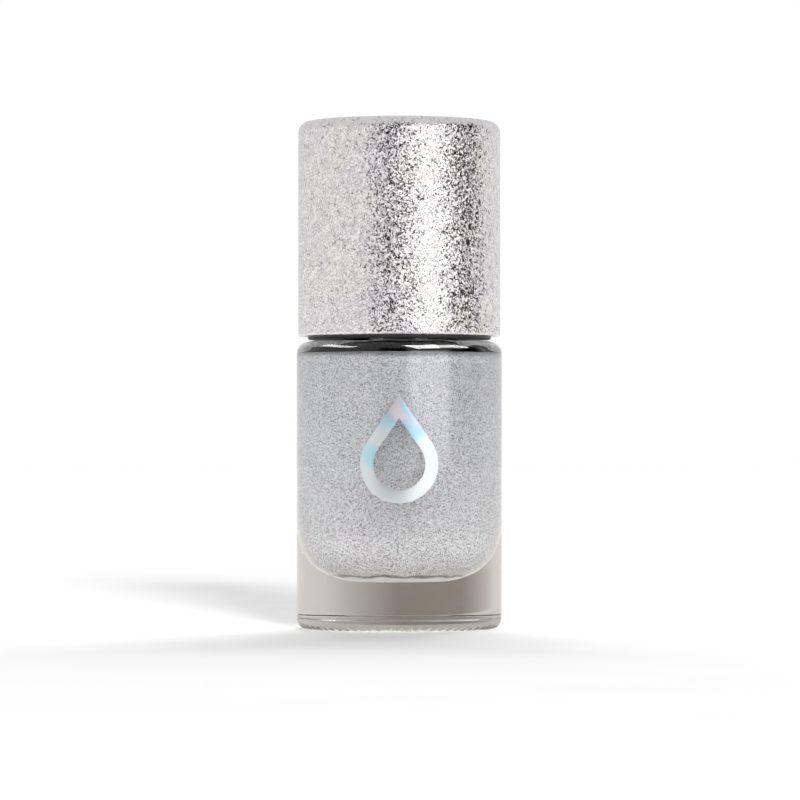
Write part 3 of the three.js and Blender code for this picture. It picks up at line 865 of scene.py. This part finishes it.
def make_stage():
    reach = 12.0
    corners = [(-reach, -reach, 0), (reach, -reach, 0), (reach, reach, 0), (-reach, reach, 0)]
    floor = new_object("floor", corners, [(0, 1, 2, 3)])
    made, n = material("pale_floor")
    coords = n.add("ShaderNodeTexCoord").outputs["Object"]
    mottle = n.add("ShaderNodeTexNoise", {"Vector": coords, "Scale": 40.0, "Detail": 3.0})
    tint = n.ramp(mottle.outputs[0], [(0.3, gray(0.90)), (0.7, gray(0.92))])
    n.output(n.add("ShaderNodeBsdfDiffuse", {"Color": tint}).outputs[0])
    floor.data.materials.append(made)


def make_painted_shade_sheet():
    """A low grey sheet behind the bottle with faded ends, a glowing stand-in for shade. Only light that
    comes through the glass meets it, so it paints shade into the clear base and shows nowhere else."""
    left, right, height, back = -70 * MM, 30 * MM, 9 * MM, 60 * MM
    corners = [(left, back, 0), (right, back, 0), (right, back, height), (left, back, height)]
    painted_shade_sheet = new_object("painted_shade_sheet", corners, [(0, 1, 2, 3)])
    made, n = material("painted_shade_sheet_material")
    across = n.add("ShaderNodeSeparateXYZ", {0: n.add("ShaderNodeTexCoord").outputs["Object"]}).outputs[0]
    share = n.math("DIVIDE", n.math("SUBTRACT", across, left), right - left)
    fade = [(0.0, 0.0), (0.31, 0.54), (0.49, 1.0), (0.70, 1.0), (0.78, 0.64), (0.90, 0.2), (1.0, 0.0)]
    shade = n.ramp(share, [(place, gray(cover)) for place, cover in fade])
    # Painted shade: the sheet glows a dim grey-brown, faded to clear at its ends.
    painted_shade_glow = n.add("ShaderNodeEmission", {"Color": (0.39, 0.364, 0.327, 1)}).outputs[0]
    clear = n.add("ShaderNodeBsdfTransparent").outputs[0]
    n.output(n.add("ShaderNodeMixShader", {0: shade, 1: clear, 2: painted_shade_glow}).outputs[0])
    painted_shade_sheet.data.materials.append(made)
    painted_shade_sheet.visible_camera = painted_shade_sheet.visible_glossy = painted_shade_sheet.visible_diffuse = painted_shade_sheet.visible_shadow = False


# Brightness of the studio round the object: degrees to the right of the camera, and light level.
STUDIO_BANDS = [
    (-180, 0.79), (-120, 0.74), (-26, 0.71), (-20, 0.02), (8, 0.02), (14, 2.40), (55, 2.40),
    (61, 0.03), (98, 0.03), (108, 0.74), (140, 0.82), (180, 0.84),
]
# The bright band fades between these two heights of the view's direction (its sine) to the level given.
BAND_FADE_START, BAND_FADE_END, BAND_FADE_LEVEL = 0.12, 0.25, 0.78
# All bands end at this height, and the even ceiling starts at the next.
BANDS_TOP, CEILING_START, CEILING_LEVEL = 0.40, 0.65, 0.74
# Extra light from both sides, shared out like the bands, for what stands in the glass and scatters light.
GLASS_BANDS = [(-180, 0.35), (-84, 1.0), (-20, 0.30), (20, 0.30), (92, 0.78), (180, 0.35)]
GLASS_LEVEL = 8.6
BACKGROUND_LEVEL = 1.0
AMBIENT_SHARE = 0.40


def make_world():
    world = bpy.data.worlds.new("studio")
    bpy.context.scene.world = world
    n = Nodes(world)
    way = n.add("ShaderNodeSeparateXYZ", {0: n.add("ShaderNodeTexCoord").outputs["Generated"]})
    height = way.outputs[2]
    across = n.math("ARCTAN2", way.outputs[0], n.math("MULTIPLY", way.outputs[1], -1.0))
    share = n.math("ADD", n.math("DIVIDE", across, TURN), 0.5)
    bands, sides = (
        n.ramp(share, [((angle + 180) / 360, gray(level)) for angle, level in levels])
        for levels in (STUDIO_BANDS, GLASS_BANDS)
    )
    brightest = max(level for _, level in STUDIO_BANDS)
    fade = n.ramp(height, [(BAND_FADE_START, gray(brightest)), (BAND_FADE_END, gray(BAND_FADE_LEVEL))])
    bands = n.math("MINIMUM", bands, fade)
    above = n.ramp(height, [(BANDS_TOP, gray(0.0)), (CEILING_START, gray(1.0))])
    studio = n.mix(above, bands, gray(CEILING_LEVEL))
    path = n.add("ShaderNodeLightPath").outputs
    dimming = n.math("ADD", n.math("MULTIPLY", path["Is Diffuse Ray"], AMBIENT_SHARE - 1), 1.0)
    scattered = n.math("GREATER_THAN", path["Diffuse Depth"], 0.5)
    in_glass = n.math("MULTIPLY", path["Is Transmission Ray"], scattered)
    extra = n.math("MULTIPLY", sides, n.math("MULTIPLY", in_glass, GLASS_LEVEL))
    level = n.math("ADD", n.math("MULTIPLY", studio, dimming), extra)
    lit = n.add("ShaderNodeBackground", {"Color": level, "Strength": 1.0}).outputs[0]
    backdrop = (*gray(BACKGROUND_LEVEL), 1)
    seen = n.add("ShaderNodeBackground", {"Color": backdrop, "Strength": 1.0}).outputs[0]
    mixed = n.add("ShaderNodeMixShader", {0: path["Is Camera Ray"], 1: lit, 2: seen}).outputs[0]
    n.output(mixed, kind="ShaderNodeOutputWorld")


def place_light(light, azimuth, elevation, distance):
    """Sets a light at degrees to the right of the camera's side and above the floor, facing the object."""
    a, e = math.radians(azimuth), math.radians(elevation)
    way = Vector((math.sin(a) * math.cos(e), -math.cos(a) * math.cos(e), math.sin(e)))
    lamp = bpy.data.objects.new(light.name, light)
    lamp.location = way * distance + Vector((0, 0, SHOULDER_Z))
    lamp.rotation_euler = way.to_track_quat("Z", "Y").to_euler()
    bpy.context.scene.collection.objects.link(lamp)
    return lamp


LIGHT_DISTANCE = 0.5


def make_lights(glassware):
    """Softboxes that show as highlights in the glass alone, and two suns that light the floor and shade it
    in front."""
    lit = bpy.data.collections.new("lit_by_boxes")
    lit.objects.link(glassware)
    for name, azimuth, elevation, width, height, radiance in (
        ("main_box", 35, 46, 0.24, 0.34, 20.0),
        ("left_box", -90, 43, 0.40, 0.12, 11.0),
        ("right_box", 74, 43, 0.30, 0.20, 13.0),
    ):
        box = bpy.data.lights.new(name, "AREA")
        box.shape = "RECTANGLE"
        box.size, box.size_y = width, height
        box.energy = radiance * math.pi * width * height
        lamp = place_light(box, azimuth, elevation, LIGHT_DISTANCE)
        lamp.light_linking.receiver_collection = lit
        lamp.visible_diffuse = lamp.visible_transmission = False
    for name, azimuth, elevation, energy, angle in (("key", 9, 15, 3.5, 8), ("back", 174, 31, 3.2, 44)):
        sun = bpy.data.lights.new(name, "SUN")
        sun.energy = energy
        sun.angle = math.radians(angle)
        lamp = place_light(sun, azimuth, elevation, LIGHT_DISTANCE)
        lamp.visible_glossy = lamp.visible_transmission = False


# The camera stands level with the lower half of the bottle and looks very slightly up.
CAMERA_DISTANCE = 0.62
EYE_HEIGHT = 22.3 * MM
AIM = Vector((0.1 * MM, 0, 30.3 * MM))
FRAME_WIDTH = 106.2 * MM


def make_camera():
    data = bpy.data.cameras.new("camera")
    data.lens = data.sensor_width * CAMERA_DISTANCE / FRAME_WIDTH
    camera = bpy.data.objects.new("camera", data)
    camera.location = (AIM.x, -CAMERA_DISTANCE, EYE_HEIGHT)
    camera.rotation_euler = (AIM - camera.location).to_track_quat("-Z", "Y").to_euler()
    data.clip_start, data.clip_end = 0.01, 50
    bpy.context.scene.collection.objects.link(camera)
    bpy.context.scene.camera = camera


bottle = make_bottle()
make_polish()
make_balls()
make_label()
make_emblem()
make_overcap()
make_inner_cap()
make_glue()
make_seal()
make_stem()
make_bristles()
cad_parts["bristle_staple"].data.materials.clear()
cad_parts["bristle_staple"].data.materials.append(STEEL)
make_stage()
make_painted_shade_sheet()
make_world()
make_lights(bottle)
make_camera()
bpy.context.scene.view_settings.view_transform = "Standard"
